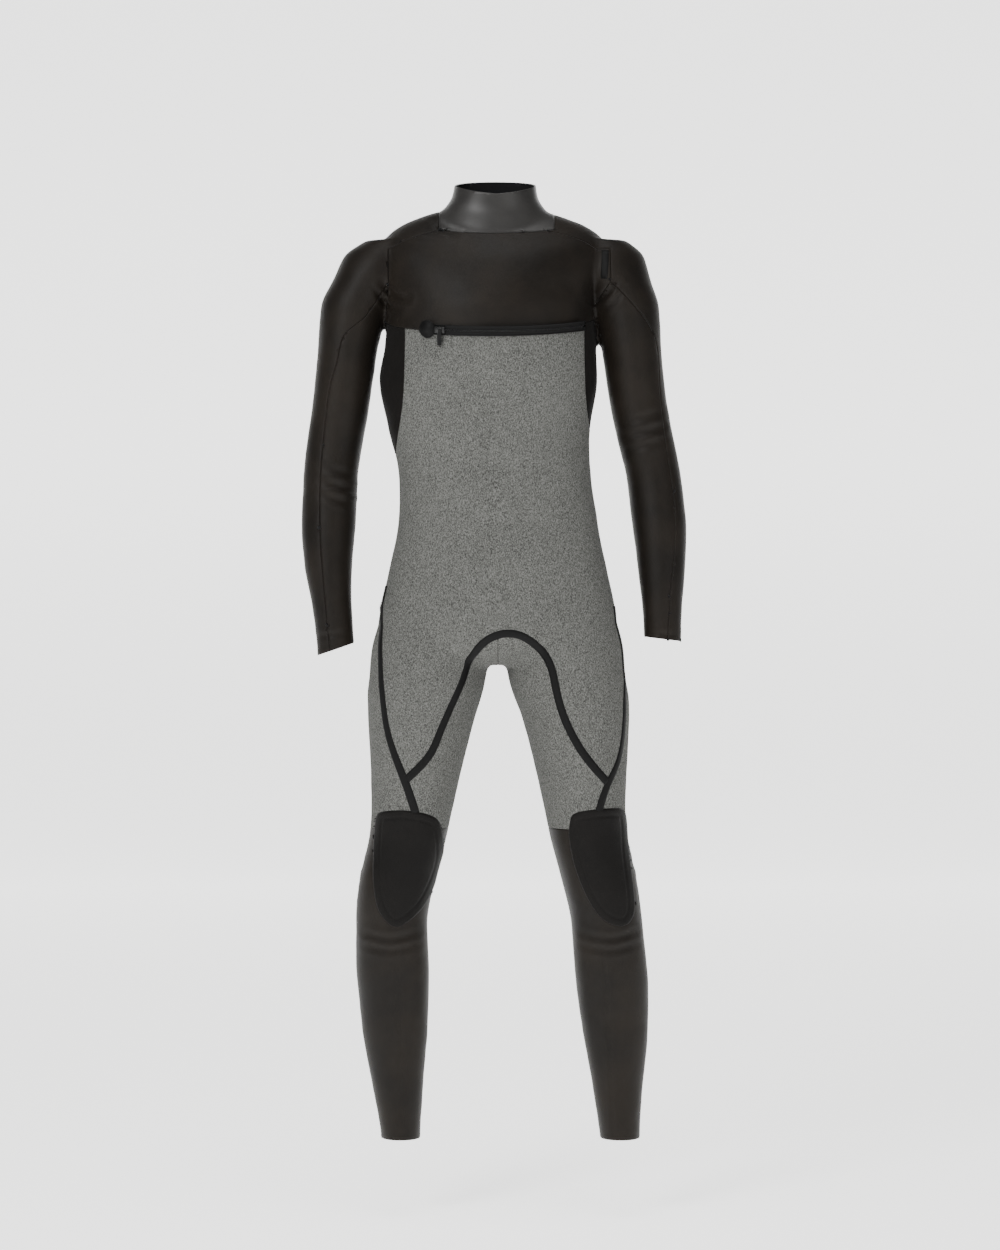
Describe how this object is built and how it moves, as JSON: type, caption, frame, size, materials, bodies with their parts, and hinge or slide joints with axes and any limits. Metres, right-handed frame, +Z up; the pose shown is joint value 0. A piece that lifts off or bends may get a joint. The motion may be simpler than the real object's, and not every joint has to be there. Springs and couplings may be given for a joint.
{
  "type": "full wetsuit",
  "caption": "Full-length chest-zip wetsuit standing in the shape of its wearer, with long sleeves, long legs, collar and knee pads.",
  "frame": {"origin": "middle of the wearer's shoulder line", "axes": "+Z up along the body, +X to the wearer's left, -Y to the wearer's front"},
  "size_m": [0.5987, 0.2449, 1.501],
  "materials": {
    "grey_heather": "heathered grey nylon jersey over neoprene foam",
    "black_jersey": "black nylon jersey over neoprene foam",
    "mesh_skin": "fine mesh-embossed rubber skin with a soft sheen",
    "smooth_skin": "smooth rubber skin, satin",
    "surface_tape": "flat matte rubber tape",
    "knee_print": "matte abrasion-resistant rubber print",
    "moulded_black": "moulded acetal, semi-matte"
  },
  "bodies": {
    "suit": {"front_panel": "grey_heather", "back_panel": "black_jersey", "seat_panel": "black_jersey", "inner_bib": "black_jersey", "crotch_arch_tape": "surface_tape", "zip_lower_tape": "surface_tape", "zip_lower_chain": "moulded_black", "left_shoulder_panel": "mesh_skin", "left_upper_sleeve": "mesh_skin", "left_elbow": "mesh_skin", "left_side_panel": "black_jersey", "left_inner_thigh": "grey_heather", "left_outer_thigh": "grey_heather", "left_back_thigh": "grey_heather", "left_thigh_tape": "surface_tape", "left_knee": "mesh_skin", "left_knee_pad": "knee_print", "right_shoulder_panel": "mesh_skin", "right_upper_sleeve": "mesh_skin", "right_elbow": "mesh_skin", "right_side_panel": "black_jersey", "right_inner_thigh": "grey_heather", "right_outer_thigh": "grey_heather", "right_back_thigh": "grey_heather", "right_thigh_tape": "surface_tape", "right_knee": "mesh_skin", "right_knee_pad": "knee_print"},
    "flap": {"chest_flap": "mesh_skin", "collar": "smooth_skin", "flap_edge_strip": "surface_tape", "zip_upper_tape": "surface_tape", "zip_upper_chain": "moulded_black", "zip_end_patch": "surface_tape"},
    "slider": {"zip_slider": "moulded_black"},
    "pull": {"zip_pull_tab": "moulded_black"},
    "left_lower_arm": {"left_forearm": "mesh_skin", "left_wrist_cuff": "mesh_skin"},
    "right_lower_arm": {"right_forearm": "mesh_skin", "right_wrist_cuff": "mesh_skin"},
    "left_lower_leg": {"left_shin": "mesh_skin", "left_calf": "mesh_skin", "left_ankle_cuff": "mesh_skin"},
    "right_lower_leg": {"right_shin": "mesh_skin", "right_calf": "mesh_skin", "right_ankle_cuff": "mesh_skin"}
  },
  "joints": [
    {"name": "flap_lift", "type": "hinge", "parent": "suit", "child": "flap", "pos_m": [0, 0.072, 0.058], "axis": [1, 0, 0], "range_deg": [-75, 0]},
    {"name": "zip_travel", "type": "hinge", "parent": "flap", "child": "slider", "pos_m": [-0.01, 0.07511, -0.10666], "axis": [0, -0.225, 0.9744], "range_deg": [0, 66]},
    {"name": "pull_flip", "type": "hinge", "parent": "slider", "child": "pull", "pos_m": [-0.08788, -0.11284, -0.14944], "axis": [0.9272, -0.365, -0.0843], "range_deg": [-90, 0]},
    {"name": "left_elbow_bend", "type": "hinge", "parent": "suit", "child": "left_lower_arm", "pos_m": [0.2391, -0.002, -0.345], "axis": [1, 0, 0], "range_deg": [-110, 0], "stiffness_Nm_per_rad": 0.3, "deforming": ["left_elbow"]},
    {"name": "right_elbow_bend", "type": "hinge", "parent": "suit", "child": "right_lower_arm", "pos_m": [-0.2554, -0.002, -0.345], "axis": [1, 0, 0], "range_deg": [-110, 0], "stiffness_Nm_per_rad": 0.3, "deforming": ["right_elbow"]},
    {"name": "left_knee_bend", "type": "hinge", "parent": "suit", "child": "left_lower_leg", "pos_m": [0.157, 0.008, -0.985], "axis": [1, 0, 0], "range_deg": [0, 110], "stiffness_Nm_per_rad": 0.8, "deforming": ["left_knee", "left_knee_pad"]},
    {"name": "right_knee_bend", "type": "hinge", "parent": "suit", "child": "right_lower_leg", "pos_m": [-0.1505, 0.008, -0.985], "axis": [1, 0, 0], "range_deg": [0, 110], "stiffness_Nm_per_rad": 0.8, "deforming": ["right_knee", "right_knee_pad"]}
  ]
}
